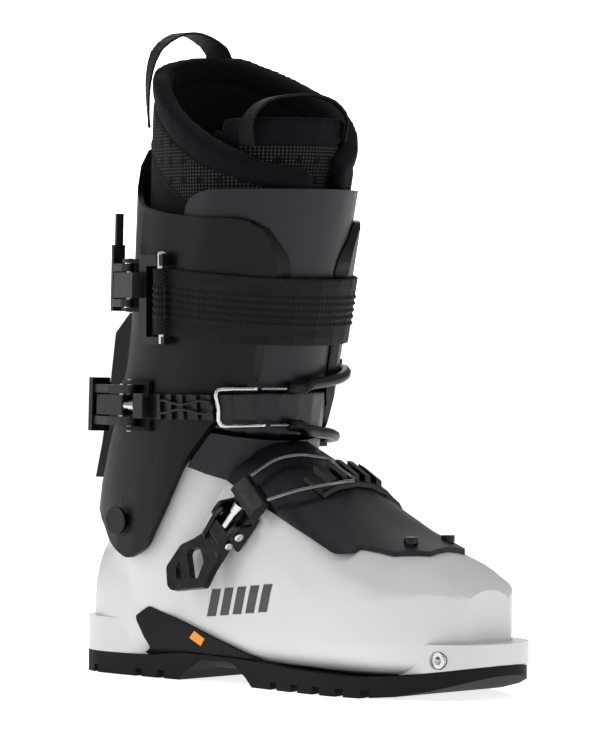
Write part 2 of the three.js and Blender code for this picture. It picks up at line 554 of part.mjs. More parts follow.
// Plate with two ears that carries a lever; the pins on the lever's axis are short stubs.
function buckleBase(half, { x0 = -9, x1 = 12, axis = [3, 7] } = {}) {
  let made = box(x0, x1, 0.5, 2.5, -half, half);
  [-1, 1].forEach((side) => {
    const [low, high] = side > 0 ? [half - 2.2, half] : [-half, -half + 2.2];
    made = made.add(planPrism([[x0 + 3, 1], [axis[0] - 4, axis[1] + 3.4], [axis[0] + 4, axis[1] + 3.4],
      [x1, 1]], low, high, 2));
  });
  return made.subtract(bar([axis[0], axis[1], -40], [axis[0], axis[1], 40], 2.1, 12));
}
function addPins(group, name, [x, y], z0, z1) {
  [['upper', 1], ['lower', -1]].forEach(([end, side]) => {
    addTo(group, `${name}_${end}`, bar([x, y, side * z0], [x, y, side * z1], 1.75, 12), MATERIAL.steel);
  });
}

// ---------------------------------------------------------------- cuff buckle
const CUFF_BUCKLE = { x: 42, z: 147.5, half: 13.5, axis: [3, 7], link: [11, 7.2], length: 44 };
const cuffBuckle = cuffStand('cuff_buckle_stand', CUFF_BUCKLE.x, CUFF_BUCKLE.z);
addTo(cuffBuckle, 'cuff_buckle_base', buckleBase(CUFF_BUCKLE.half), MATERIAL.buckle);
addPins(cuffBuckle, 'cuff_lever_pin', CUFF_BUCKLE.axis, 6.2, 14);
function cuffLever() {
  const { axis, link, length } = CUFF_BUCKLE;
  const arm = (z0, z1) => planPrism([[-0.4, 4.6], [-0.4, 9.2], [5, 11.5], [20, 11], [length, 8], [length,
    3.4], [20, 4], [6, 3.6]],
    z0, z1, 1.5);
  let lever = union(arm(6.3, 10.9), arm(-10.9, -6.3), box(length - 4, length, -1.5, 9.5, -14.5, 14.5));
  lever = lever.subtract(bar([...axis, -40], [...axis, 40], 2.1, 12));
  return lever.subtract(bar([...link, -40], [...link, 40], 2.1, 12));
}
addTo(cuffBuckle, 'cuff_lever', cuffLever(), MATERIAL.buckle);
addTo(cuffBuckle, 'cuff_link_pin', bar([...CUFF_BUCKLE.link, -10.7], [...CUFF_BUCKLE.link, 10.7], 1.75,
  12), MATERIAL.steel);
const block = planPrism([[6.4, 4.6], [6.4, 10.2], [36, 9.4], [36, 5]], -5.4, 5.4, 1.2)
  .subtract(bar([...CUFF_BUCKLE.link, -40], [...CUFF_BUCKLE.link, 40], 2.1, 12))
  .subtract(bar([0, 7.2, 0], [8.4, 7.2, 0], 1.5, 10));
addTo(cuffBuckle, 'cuff_adjuster_block', block, MATERIAL.buckle);
addTo(cuffBuckle, 'cuff_adjuster', union(bar([6, 7.2, 0], [0, 7.2, 0], 2.6, 12), bar([0.2, 7.2, 0], [-5,
  7.2, 0], 3.2, 12)),
  MATERIAL.steel);

const RACK = { root: [52, 66], to: 107.5, teeth: [63, 100.5], tooth: 2.4, z0: 140.8, z1: 154.2,
  inner: 10.6, strip: 12.8, tips: 15.2 };
const lateral = (x0, x1, z0, z1) => box(x0, x1, -75, 0, z0, z1);
const medial = (x0, x1, z0, z1) => box(x0, x1, 0, 75, z0, z1);
// A layer that follows the leg between two offsets.
const legLayer = (inner, outer, z0, z1, steps = 3) => (
  legForm(outer, z0, z1, steps).subtract(legForm(inner, z0 - 1, z1 + 1, steps)));
function cuffRack() {
  const { root: [r0, r1], to, teeth, tooth, z0, z1, inner, strip, tips } = RACK;
  let rack = legLayer(inner, strip, 135, 160).intersect(lateral(r0, to, z0, z1))
    .add(legLayer(8.4, strip, 135, 160).intersect(lateral(r0, r1, z0, z1)));
  const crown = legLayer(inner, tips, 135, 160);
  range(...teeth, 6).forEach((x) => { rack = rack.add(crown.intersect(lateral(x, x + tooth, z0, z1))); });
  return rack.add(moved(box(-15, -5.4, 4, 10, -6.7, 6.7), cuffBuckle));
}
add('cuff_rack', cuffRack(), MATERIAL.buckle);

// Wire bail around the rack, its bar in a gap between teeth, and the two cables that hold its ends.
const BAIL = { bar: 97.9, hinge: 108.5, half: 9.8, wire: 1.2, z: 147.3 };
const layerPoint = (x, z, offset, side = -1) => [x, side * legHalf(x, z, offset), z];
function bailWire() {
  const { bar: b, hinge, half, z } = BAIL;
  const leg = (side) => [layerPoint(hinge, z + side * half, 9.2), layerPoint(105, z + side * half, 10.6),
    layerPoint(101.5, z + side * half, 12.8), layerPoint(b, z + side * (half - 1), 14.6)];
  return sweep([...leg(1), layerPoint(b, z, 14.6), ...leg(-1).reverse()], BAIL.wire, 8, 24);
}
add('bail_wire', bailWire(), MATERIAL.steel);
const CABLE = { radius: 1, sleeve: 3.1 };
const SLEEVES = {
  upper: { z: BAIL.z + BAIL.half, route: [[113.5, 157.2, 7.3, -1], [115.8, 157.6, 7.1, -1], [117.5, 158.2,
    6.9, -1],
    [117.4, 159, 6.9, 1], [114.5, 160.5, 8.4, 1], [110, 162.5, 10.4, 1], [104, 164.5, 11.2, 1], [97, 166,
      11.2, 1],
    [89, 166.5, 11.2, 1]], anchor: [76, 87.1, 161, 172] },
  lower: { z: BAIL.z - BAIL.half, route: [[111.3, 137.6, 7.2, -1], [113, 137, 7.0, -1], [113.8, 136.4,
    6.9, -1],
    [113.6, 135.4, 6.9, 1], [110.5, 134, 7.2, 1], [105, 132.2, 8.4, 1], [97, 130.6, 10, 1], [88, 129.6,
      11.2, 1],
    [78, 129, 11.2, 1]], anchor: [64, 76.4, 124, 134] },
};
Object.entries(SLEEVES).forEach(([name, { z, route, anchor }]) => {
  const line = route.map(([x, height, offset, side]) => layerPoint(x, height, offset, side));
  add(`cable_sleeve_${name}`, sweep(line, CABLE.sleeve, 8, 20), MATERIAL.rubber);
  const [first, second] = line;
  const start = new THREE.Vector3(...first).lerp(new THREE.Vector3(...second), -0.1).toArray();
  add(`cable_${name}`, bar(layerPoint(BAIL.hinge + 0.9, z, 8.8), start, CABLE.radius, 8), MATERIAL.buckle);
  const [x0, x1, z0, z1] = anchor;
  add(`cable_anchor_${name}`, legLayer(CUFF.outer + GAP, 14, 118, 176, 5).intersect(medial(x0, x1, z0, z1)), MATERIAL.buckle);
});

// ---------------------------------------------------------------- power strap and its buckle
const STRAP = { z: 204, at: 60, droop: 0.1, half: 18, inner: CUFF.outer + 0.5, outer: CUFF.outer + 2.7 };
const STRAP_PIN = { x: 65, offset: 12.2, z0: 181, z1: 229, radius: 1.75, eye: 4 };
const strapPin = (radius, z0, z1) => {
  const { x, offset } = STRAP_PIN;
  return bar(layerPoint(x, z0, offset), layerPoint(x, z1, offset), radius, 14);
};
function powerStrap() {
  const { z, at, droop, half, inner, outer } = STRAP;
  const band = (x0) => [[x0, 1], [150, 1], [150, -1], [x0, -1]].map(([x, s]) => [x,
    z - droop * (x - at) + s * half]);
  const prism = sidePrism(band(66), -80, 0).add(sidePrism(band(50), 0, 80));
  const strap = legLayer(inner, outer, 170, 232, 4).intersect(prism);
  return strap.add(strapPin(STRAP_PIN.eye, 186, 221)).subtract(legForm(inner, 168, 234, 4))
    .subtract(strapPin(STRAP_PIN.radius + GAP, 170, 240));
}
add('power_strap', powerStrap(), MATERIAL.webbing);
add('strap_pin', strapPin(STRAP_PIN.radius, STRAP_PIN.z0, STRAP_PIN.z1), MATERIAL.steel);
const anchorLeg = legLayer(CUFF.outer + GAP, 12.4, 180, 226, 4).intersect(medial(41, 49.5, 188, 221));
const anchorTop = legLayer(STRAP.outer + GAP, 12.4, 180, 226, 4).intersect(medial(41, 60, 188, 221));
add('strap_anchor', anchorLeg.add(anchorTop), MATERIAL.buckle);

const STRAP_BUCKLE = { x: 36, z: 212, half: 14.2, axis: [2, 6.5], link: [11, 6.8] };
const strapBuckle = cuffStand('strap_buckle_stand', STRAP_BUCKLE.x, STRAP_BUCKLE.z);
addTo(strapBuckle, 'strap_buckle_base', buckleBase(STRAP_BUCKLE.half, { axis: STRAP_BUCKLE.axis }),
  MATERIAL.buckle);
addTo(strapBuckle, 'strap_lever_pin', bar([...STRAP_BUCKLE.axis, -14.6], [...STRAP_BUCKLE.axis, 14.6],
  1.75, 12), MATERIAL.steel);
function strapLever() {
  const { axis, link } = STRAP_BUCKLE;
  const arm = (z0, z1) => planPrism([[-0.6, 4.2], [-0.6, 8.7], [4, 10.6], [22, 10], [27, 8], [27, 3.6],
    [8, 3.6]], z0, z1, 1.5);
  const lever = union(arm(7.5, 11.7), arm(-11.7, -7.5), box(22.5, 26.5, 3, 9.6, -14, 22), box(23, 26, 4,
    8, 20, 39));
  return lever.subtract(bar([...axis, -40], [...axis, 40], 2.1, 12)).add(bar([...link, -9], [...link, 9],
    1.75, 12));
}
addTo(strapBuckle, 'strap_lever', strapLever(), MATERIAL.buckle);
function strapFrame() {
  const layer = legLayer(10, 14.2, 176, 234, 4);
  const frame = layer.intersect(lateral(45, 68.8, 180.6, 228.4)).subtract(lateral(53, 80, 184.6, 222.4));
  const hook = union(box(-17.5, -11, 2, 11.3, -6.8, 6.8), box(-17.5, 16, 9, 11.3, -6.8, 6.8), box(13.4,
    16, 4.4, 11.3, -6.8, 6.8));
  return frame.add(moved(hook, strapBuckle)).subtract(strapPin(STRAP_PIN.radius + GAP, 170, 240));
}
add('strap_frame', strapFrame(), MATERIAL.buckle);

// ---------------------------------------------------------------- instep buckle
// A point over the foot at a given distance from the mid plane.
function overFoot(x, y, offset) {
  const half = (y > 0 ? FOOT.medial(x) : FOOT.lateral(x)) + offset;
  const p = FOOT.upperPower(x);
  const rise = (1 - Math.abs(y / half) ** p) ** (1 / p);
  return [x, y, FOOT.shoulder(x) + (FOOT.top(x) + offset - FOOT.shoulder(x)) * rise];
}
const INSTEP = { axis: [3, 7], link: [11, 7.2], half: 12.5 };
const instepBuckle = buckleStand('instep_buckle_stand', [106.3, -39.2, 87.8], [-0.6, -0.13, -0.78],
  [-0.08, -1, 0.23]);
addTo(instepBuckle, 'instep_buckle_base', buckleBase(INSTEP.half), MATERIAL.buckle);
addPins(instepBuckle, 'instep_lever_pin', INSTEP.axis, 6.9, 13);
function instepLever() {
  const { axis, link } = INSTEP;
  const arm = (z0, z1) => planPrism([[-0.4, 4.6], [-0.4, 9.2], [5, 10.8], [20, 9.6], [20, 4]], z0, z1, 1.5);
  const skeleton = sidePrism([[16, -9.9], [29, -10.5], [38, -12.5], [56, 7], [56.5, 11.5], [50.5, 20.5],
    [35, 20.5],
    [26, 14.5], [16, 9.9]], 4, 8, 1.5);
  const wide = sidePrism([[26, 7], [32, 13], [35, 12.5], [41.5, 0], [38, -5], [29, -2]], 0, 20, 1);
  const narrow = sidePrism([[41.5, 14.5], [46, 13.5], [49, 8.5], [46.5, 4.5]], 0, 20, 0.6);
  const lever = union(arm(6.8, 9.9), arm(-9.9, -6.8), skeleton.subtract(wide).subtract(narrow));
  return lever.subtract(bar([...axis, -40], [...axis, 40], 2.1, 12)).subtract(bar([...link, -40],
    [...link, 40], 2.1, 12));
}
addTo(instepBuckle, 'instep_lever', instepLever(), MATERIAL.buckle);
addTo(instepBuckle, 'instep_link_pin', bar([...INSTEP.link, -10.6], [...INSTEP.link, 10.6], 1.75, 12),
  MATERIAL.steel);
const instepBlock = planPrism([[6.4, 4.6], [6.4, 10], [15, 9.8], [15, 4.8]], -6.1, 6.1, 1.2)
  .subtract(bar([...INSTEP.link, -40], [...INSTEP.link, 40], 2.1, 12))
  .subtract(bar([0, 7.2, 0], [8.4, 7.2, 0], 1.5, 10));
addTo(instepBuckle, 'instep_adjuster_block', instepBlock, MATERIAL.buckle);
addTo(instepBuckle, 'instep_adjuster', union(bar([6, 7.2, 0], [-4, 7.2, 0], 2.4, 12), bar([-3.8, 7.2, 0],
  [-9, 7.2, 0], 3.2, 12)), MATERIAL.steel);
addTo(instepBuckle, 'instep_yoke', planPrism([[-10.4, 4.2], [-10.4, 10], [-14, 9.6], [-21.5, 6.6], [-21.5,
  2.4], [-14, 3]], -14, 10, 1),
  MATERIAL.buckle);
const INSTEP_RACK = { x0: 137.5, x1: 153, base: [3.6, 6.2], tips: 9.6, teeth: [-16, -7.5, 1, 9.5, 18],
  tooth: 4 };
function instepWire() {
  const end = (z) => new THREE.Vector3(-22.9, 4.5, z).applyMatrix4(instepBuckle.matrix).toArray();
  const y = INSTEP_RACK.teeth[1] + 4.25;
  const points = [end(8.4), overFoot(121, -28, 8.4), overFoot(128, -17, 8.4), overFoot(134, -8, 8.3),
    overFoot(136.4, y, 8.1),
    overFoot(145, y, 7.6), overFoot(154, y, 8.1), overFoot(154.6, -12, 8.3), overFoot(151.5, -24, 8.6),
    overFoot(143, -35, 8.4), end(-12.4)];
  return sweep(points, 1.15, 8, 40);
}
add('instep_wire', instepWire(), MATERIAL.steel);
function instepRack() {
  const { x0, x1, base: [inner, outer], tips, teeth, tooth } = INSTEP_RACK;
  let rack = footForm(outer).intersect(box(x0, x1, -24, 46, 60, 140));
  const crown = footForm(tips);
  teeth.forEach((y) => {
    rack = rack.add(crown.intersect(box(x0 + 1, x1 - 1, y - tooth / 2, y + tooth / 2, 90, 140)));
  });
  return rack.subtract(footForm(inner)).subtract(legForm(inner, 96, 300, 9));
}
add('instep_rack', instepRack(), MATERIAL.buckle);

export default root;
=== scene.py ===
"""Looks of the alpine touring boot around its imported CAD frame. Metres, +X to the toe, +Z up."""

import math

import bpy
import numpy as np
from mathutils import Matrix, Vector
from mathutils.bvhtree import BVHTree
from mathutils.kdtree import KDTree


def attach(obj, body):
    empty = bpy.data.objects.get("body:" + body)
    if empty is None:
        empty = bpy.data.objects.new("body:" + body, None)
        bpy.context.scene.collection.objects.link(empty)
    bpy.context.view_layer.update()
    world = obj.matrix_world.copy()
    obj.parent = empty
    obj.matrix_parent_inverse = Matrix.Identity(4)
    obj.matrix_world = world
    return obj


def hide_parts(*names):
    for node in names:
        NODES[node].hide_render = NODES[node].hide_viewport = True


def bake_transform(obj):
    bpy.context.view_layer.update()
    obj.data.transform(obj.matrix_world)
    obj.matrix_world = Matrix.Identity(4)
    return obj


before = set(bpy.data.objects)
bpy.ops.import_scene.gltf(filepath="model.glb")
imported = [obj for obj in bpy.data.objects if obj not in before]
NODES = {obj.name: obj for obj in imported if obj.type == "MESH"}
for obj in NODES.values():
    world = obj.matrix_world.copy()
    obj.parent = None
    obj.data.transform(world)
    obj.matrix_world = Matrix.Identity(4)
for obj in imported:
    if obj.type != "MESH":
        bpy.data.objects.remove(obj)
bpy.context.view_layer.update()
MM = 0.001
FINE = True

# ---------------------------------------------------------------- camera, light and floor
SENSOR_WIDTH = 36
CAMERA_AT = Vector((1.8076, -1.6906, 0.2092))
CAMERA_AIM = Vector((0.1018, 0.0054, 0.1670))
LENS = 218.6
WORLD_LIGHT = 0.33  # strength of the white world as it lights the boot
WORLD_SEEN = 3.0  # and as the camera sees it behind the boot
FLOOR_SIZE = 60
FLOOR_GLOW = 0.8


def camera():
    data = bpy.data.cameras.new("camera")
    data.lens = LENS
    data.sensor_width = SENSOR_WIDTH
    data.clip_end = 50
    o = bpy.data.objects.new("camera", data)
    o.location = CAMERA_AT
    o.rotation_euler = (CAMERA_AIM - CAMERA_AT).to_track_quat("-Z", "Y").to_euler()
    bpy.context.scene.collection.objects.link(o)
    bpy.context.scene.camera = o


def softbox(name, at, size, power, aim=(0.1, 0, 0.15)):
    data = bpy.data.lights.new(name, "AREA")
    data.shape = "RECTANGLE"
    data.size, data.size_y = size
    data.energy = power
    o = bpy.data.objects.new(name, data)
    o.location = at
    o.rotation_euler = (Vector(aim) - Vector(at)).to_track_quat("-Z", "Y").to_euler()
    bpy.context.scene.collection.objects.link(o)


def studio():
    softbox("key", (-0.75, -1.35, 0.85), (0.7, 1.3), 7.5)
    softbox("front", (1.6, 0.55, 0.8), (0.5, 1.2), 4.5)
    softbox("top", (0.1, 0, 1.5), (1.2, 1.0), 4.5)
    softbox("rim", (-0.9, 0.9, 0.8), (0.6, 1.2), 4)
    world = bpy.data.worlds.new("studio")
    bpy.context.scene.world = world
    world.use_nodes = True
    tree = world.node_tree
    background = tree.nodes["Background"]
    background.inputs["Color"].default_value = (1, 1, 1, 1)
    background.inputs["Strength"].default_value = WORLD_LIGHT
    seen = tree.nodes.new("ShaderNodeBackground")
    seen.inputs["Strength"].default_value = WORLD_SEEN
    mix = tree.nodes.new("ShaderNodeMixShader")
    path = tree.nodes.new("ShaderNodeLightPath")
    tree.links.new(path.outputs["Is Camera Ray"], mix.inputs["Fac"])
    tree.links.new(background.outputs[0], mix.inputs[1])
    tree.links.new(seen.outputs[0], mix.inputs[2])
    tree.links.new(mix.outputs[0], tree.nodes["World Output"].inputs["Surface"])
    bpy.ops.mesh.primitive_plane_add(size=FLOOR_SIZE, location=(0, 0, 0))
    floor = bpy.context.object
    floor.name = "floor"
    pale, _, shader = material("pale_floor", (0.97, 0.97, 0.97), 0.9)
    shader.inputs["Specular IOR Level"].default_value = 0.0
    shader.inputs["Emission Color"].default_value = (1, 1, 1, 1)
    shader.inputs["Emission Strength"].default_value = FLOOR_GLOW
    floor.data.materials.append(pale)
    bpy.context.scene.view_settings.view_transform = "Standard"


# ---------------------------------------------------------------- material tools
def material(name, colour, roughness, metallic=0.0):
    made = bpy.data.materials.new(name)
    made.use_nodes = True
    shader = made.node_tree.nodes["Principled BSDF"]
    shader.inputs["Base Color"].default_value = (*colour, 1)
    shader.inputs["Roughness"].default_value = roughness
    shader.inputs["Metallic"].default_value = metallic
    made.diffuse_color = (*colour, 1)
    return made, made.node_tree, shader


def place(tree, stretch=(1, 1, 1), attribute=None):
    """A place in the object's own frame, or a stored attribute, stretched per axis."""
    if attribute:
        source = tree.nodes.new("ShaderNodeAttribute")
        source.attribute_name = attribute
        out = source.outputs["Vector"]
    else:
        out = tree.nodes.new("ShaderNodeTexCoord").outputs["Object"]
    mapping = tree.nodes.new("ShaderNodeMapping")
    mapping.inputs["Scale"].default_value = stretch
    tree.links.new(out, mapping.inputs["Vector"])
    return mapping.outputs["Vector"]


def noise(tree, vector, scale, detail=3):
    node = tree.nodes.new("ShaderNodeTexNoise")
    node.inputs["Scale"].default_value = scale
    node.inputs["Detail"].default_value = detail
    tree.links.new(vector, node.inputs["Vector"])
    return node.outputs["Fac"]


def math_node(tree, operation, first, second=None):
    node = tree.nodes.new("ShaderNodeMath")
    node.operation = operation
    for socket, value in zip(node.inputs, (first, second)):
        if value is None:
            continue
        if isinstance(value, (int, float)):
            socket.default_value = value
        else:
            tree.links.new(value, socket)
    return node.outputs[0]


def spread(tree, value, low, high, to_low, to_high):
    node = tree.nodes.new("ShaderNodeMapRange")
    node.interpolation_type = "SMOOTHSTEP"
    tree.links.new(value, node.inputs["Value"])
    limits = {"From Min": low, "From Max": high, "To Min": to_low, "To Max": to_high}
    for name, limit in limits.items():
        node.inputs[name].default_value = limit
    return node.outputs["Result"]


def tint(tree, shader, factor, dark, light):
    node = tree.nodes.new("ShaderNodeMix")
    node.data_type = "RGBA"
    tree.links.new(factor, node.inputs["Factor"])
    for socket, value in ((node.inputs[6], dark), (node.inputs[7], light)):
        if isinstance(value, tuple):
            socket.default_value = (*value, 1)
        else:
            tree.links.new(value, socket)
    if shader:
        tree.links.new(node.outputs[2], shader.inputs["Base Color"])
    return node.outputs[2]


def bump(tree, shader, height, strength, distance):
    node = tree.nodes.new("ShaderNodeBump")
    node.inputs["Strength"].default_value = strength
    node.inputs["Distance"].default_value = distance
    tree.links.new(height, node.inputs["Height"])
    tree.links.new(node.outputs["Normal"], shader.inputs["Normal"])


def dots(tree, vector, pitch, radius, soft=0.08):
    """1 inside round dots on a square grid, 0 outside. Radius is a share of the pitch."""
    scaled = tree.nodes.new("ShaderNodeVectorMath")
    scaled.operation = "SCALE"
    scaled.inputs["Scale"].default_value = 1 / pitch
    tree.links.new(vector, scaled.inputs[0])
    cell = tree.nodes.new("ShaderNodeVectorMath")
    cell.operation = "FRACTION"
    tree.links.new(scaled.outputs[0], cell.inputs[0])
    centred = tree.nodes.new("ShaderNodeVectorMath")
    centred.operation = "SUBTRACT"
    centred.inputs[1].default_value = (0.5, 0.5, 0)
    tree.links.new(cell.outputs[0], centred.inputs[0])
    flat = tree.nodes.new("ShaderNodeVectorMath")
    flat.operation = "MULTIPLY"
    flat.inputs[1].default_value = (1, 1, 0)
    tree.links.new(centred.outputs[0], flat.inputs[0])
    length = tree.nodes.new("ShaderNodeVectorMath")
    length.operation = "LENGTH"
    tree.links.new(flat.outputs[0], length.inputs[0])
    return spread(tree, length.outputs["Value"], radius - soft, radius + soft, 1, 0)


# ---------------------------------------------------------------- the materials
def plastic(name, dark, light, roughness, grain, depth, stretch=(1, 1, 1), coat=0.0, gloss=0.5):
    """Moulded plastic: cloudy between two tones, with a fine grain in roughness and height."""
    made, tree, shader = material(name, light, roughness)
    shader.inputs["Specular IOR Level"].default_value = gloss
    cloudy = noise(tree, place(tree), 14)
    tint(tree, shader, cloudy, dark, light)
    fine = noise(tree, place(tree, stretch), grain, 4)
    rough = spread(tree, fine, 0.3, 0.7, roughness - 0.05, roughness + 0.07)
    tree.links.new(rough, shader.inputs["Roughness"])
    bump(tree, shader, fine, 0.25, depth)
    shader.inputs["Coat Weight"].default_value = coat
    shader.inputs["Coat Roughness"].default_value = 0.25
    return made


def metal(name, colour, roughness):
    """Bare metal with a slightly uneven polish."""
    made, tree, shader = material(name, colour, roughness, 1.0)
    polish = noise(tree, place(tree), 900)
    rough = spread(tree, polish, 0.3, 0.7, roughness - 0.06, roughness + 0.1)
    tree.links.new(rough, shader.inputs["Roughness"])
    bump(tree, shader, polish, 0.05, 0.00003)
    return made


def coated(name):
    """Black coated alloy, a little worn to lighter metal where the noise peaks."""
    made, tree, shader = material(name, (0.012, 0.012, 0.013), 0.34)
    speck = noise(tree, place(tree), 260, 6)
    worn = spread(tree, speck, 0.62, 0.8, 0, 1)
    tint(tree, shader, worn, (0.003, 0.003, 0.0034), (0.03, 0.03, 0.032))
    rough = spread(tree, speck, 0.3, 0.7, 0.28, 0.42)
    tree.links.new(rough, shader.inputs["Roughness"])
    bump(tree, shader, noise(tree, place(tree), 1500, 2), 0.12, 0.0001)
    shader.inputs["Specular IOR Level"].default_value = 0.32
    return made


def rubber(name, colour, roughness):
    made, tree, shader = material(name, colour, roughness)
    grit = noise(tree, place(tree), 700, 5)
    tint(tree, shader, grit, tuple(c * 0.7 for c in colour), tuple(c * 1.4 for c in colour))
    bump(tree, shader, grit, 0.3, 0.0003)
    shader.inputs["Specular IOR Level"].default_value = 0.2
    return made


def knit(name, colour):
    """Brushed knit: short pile with sheen over a soft cloudy base."""
    made, tree, shader = material(name, colour, 0.95)
    pile = noise(tree, place(tree), 1400, 4)
    tint(tree, shader, pile, tuple(c * 0.6 for c in colour), tuple(c * 1.5 for c in colour))
    bump(tree, shader, pile, 0.5, 0.0006)
    shader.inputs["Sheen Weight"].default_value = 0.06
    shader.inputs["Sheen Roughness"].default_value = 0.4
    shader.inputs["Sheen Tint"].default_value = (0.5, 0.55, 0.7, 1)
    shader.inputs["Specular IOR Level"].default_value = 0.15
    return made


def collar_cloth(name, band):
    """Fleece at the rolled edge, then a dotted mesh panel down to depth `band`, then smooth knit."""
    made, tree, shader = material(name, (0.01, 0.01, 0.012), 0.85)
    cloth = place(tree, attribute="cloth")
    split = tree.nodes.new("ShaderNodeSeparateXYZ")
    tree.links.new(cloth, split.inputs[0])
    depth = split.outputs["Z"]
    outside = math_node(tree, "GREATER_THAN", depth, 0.0135)
    inside = math_node(tree, "LESS_THAN", depth, band)
    panel = math_node(tree, "MULTIPLY", outside, inside)
    light = dots(tree, cloth, 0.0018, 0.27)
    big = dots(tree, cloth, 0.0105, 0.2)
    weave = tint(tree, None, light, (0.0015, 0.0015, 0.002), (0.05, 0.05, 0.052))
    weave = tint(tree, None, big, weave, (0.002, 0.002, 0.003))
    pile = noise(tree, place(tree), 1400, 4)
    plain = tint(tree, None, pile, (0.0015, 0.0015, 0.0025), (0.0055, 0.0055, 0.009))
    tint(tree, shader, panel, plain, weave)
    holes = math_node(tree, "MULTIPLY", math_node(tree, "SUBTRACT", light, big), panel)
    bump(tree, shader, math_node(tree, "ADD", holes, pile), 0.5, 0.0004)
    shader.inputs["Sheen Weight"].default_value = 0.05
    shader.inputs["Sheen Roughness"].default_value = 0.45
    shader.inputs["Sheen Tint"].default_value = (0.6, 0.63, 0.7, 1)
    shader.inputs["Specular IOR Level"].default_value = 0.1
    return made


def webbing(name, edge, half):
    """Woven band: herringbone bands within `edge` of its two edges, ribs between, with painted highlight
    on the ridges and painted shade in the grooves.
    """
    made, tree, shader = material(name, (0.012, 0.012, 0.013), 0.6)
    cloth = place(tree, attribute="cloth")
    split = tree.nodes.new("ShaderNodeSeparateXYZ")
    tree.links.new(cloth, split.inputs[0])
    along, across = split.outputs["X"], split.outputs["Y"]
    inset = math_node(tree, "SUBTRACT", half, math_node(tree, "ABSOLUTE", across))
    zig = math_node(tree, "ABSOLUTE", math_node(tree, "SUBTRACT", inset, edge / 2))
    slope = math_node(tree, "ADD", along, zig)
    herring = math_node(tree, "SINE", math_node(tree, "MULTIPLY", slope, 2 * math.pi / 0.0019))
    ribs = math_node(tree, "SINE", math_node(tree, "MULTIPLY", along, 2 * math.pi / 0.0012))
    in_edge = math_node(tree, "LESS_THAN", inset, edge)
    weave = tint(tree, None, in_edge, ribs, herring)
    # painted highlight and shade: the colour is lighter where the weave's relief is high and darker where
    # it is low
    ridge_highlight_groove_shade = spread(tree, weave, -1, 1, 0, 1)
    tint(tree, shader, ridge_highlight_groove_shade, (0.0008, 0.0008, 0.001), (0.011, 0.011, 0.0122))
    bump(tree, shader, weave, 0.6, 0.0003)
    shader.inputs["Specular IOR Level"].default_value = 0.16
    return made


WHITE = plastic("white_shell", (0.62, 0.625, 0.635), (0.67, 0.673, 0.68), 0.34, 1600, 0.0001,
                coat=0.15)
NAVY = plastic("navy_tongue", (0.0035, 0.0045, 0.008), (0.0065, 0.008, 0.0135), 0.36, 420, 0.00025,
               (4, 4, 0.12), gloss=0.3)
CHARCOAL = plastic("charcoal_cuff", (0.0022, 0.0024, 0.003), (0.004, 0.0043, 0.0055), 0.38, 1300,
                   0.0002, gloss=0.17)
BLACK = coated("black_alloy")
STEEL = metal("bright_steel", (0.6, 0.6, 0.61), 0.2)
DARK_STEEL = metal("dark_steel", (0.2, 0.2, 0.21), 0.3)
SOLE = rubber("sole_rubber", (0.004, 0.004, 0.004), 0.7)
SLEEVE = rubber("sleeve_rubber", (0.004, 0.004, 0.0045), 0.4)
FLEECE = knit("fleece", (0.006, 0.006, 0.008))
COLLAR = collar_cloth("collar_cloth", 0.034)
TONGUE_CLOTH = collar_cloth("tongue_cloth", 0.036)
STRAP = webbing("strap_webbing", 0.009, 0.018)
LOOP = webbing("loop_webbing", 0.0015, 0.0075)
MARK = plastic("dark_mark", (0.03, 0.032, 0.036), (0.04, 0.042, 0.046), 0.45, 900, 0.0001)
ORANGE = plastic("orange_inlay", (0.75, 0.24, 0.01), (0.85, 0.32, 0.02), 0.45, 900, 0.0001)
studio()
camera()

# ---------------------------------------------------------------- hard parts
MOULDED = {  # large mouldings: material and edge radius in mm
    "lower_shell": (WHITE, 0.8),
    "cuff": (CHARCOAL, 0.6),
    "tongue_lower": (NAVY, 0.5),
    "tongue_upper": (NAVY, 0.5),
    "spine_housing": (CHARCOAL, 0.6),
}
BEVELLED = {  # small parts: material, then each part with its edge radius in mm
    SOLE: [
        ("outsole", 0.5),
    ],
    BLACK: [
        ("spine_rivet_lower", 0.25), ("spine_rivet_upper", 0.25), ("walk_lever", 0.4),
        ("cuff_lever", 0.35), ("cuff_buckle_base", 0.25), ("cuff_adjuster_block", 0.3),
        ("cuff_rack", 0.3), ("strap_frame", 0.4), ("strap_lever", 0.35),
        ("strap_buckle_base", 0.25), ("strap_anchor", 0.4), ("instep_lever", 0.35),
        ("instep_buckle_base", 0.25), ("instep_adjuster_block", 0.3), ("instep_yoke", 0.4),
        ("instep_rack", 0.4), ("lock_catch", 0.3), ("tongue_screw_lateral", 0.3),
        ("tongue_screw_medial", 0.3), ("cable_anchor_upper", 0.4), ("cable_anchor_lower", 0.4),
        ("cuff_pivot_lateral", 0.3), ("cuff_pivot_medial", 0.3), ("boot_board", 0.4),
    ],
    STEEL: [
        ("toe_pin_socket_lateral", 0.2), ("toe_pin_socket_medial", 0.2),
        ("heel_binding_plate", 0.3), ("heel_plate_screw", 0.2), ("walk_lever_pin", 0.15),
        ("cuff_lever_pin_upper", 0.2), ("cuff_lever_pin_lower", 0.2), ("cuff_link_pin", 0.2),
        ("cuff_adjuster", 0.2), ("strap_pin", 0.3), ("strap_lever_pin", 0.2),
        ("instep_lever_pin_upper", 0.2), ("instep_lever_pin_lower", 0.2),
        ("instep_link_pin", 0.2), ("instep_adjuster", 0.2), ("bail_wire", 0),
    ],
    DARK_STEEL: [
        ("instep_wire", 0), ("cable_upper", 0), ("cable_lower", 0),
    ],
    SLEEVE: [
        ("cable_sleeve_upper", 0), ("cable_sleeve_lower", 0),
    ],
}


def dress(o, made):
    o.data.materials.clear()
    o.data.materials.append(made)
    for polygon in o.data.polygons:
        polygon.use_smooth = True


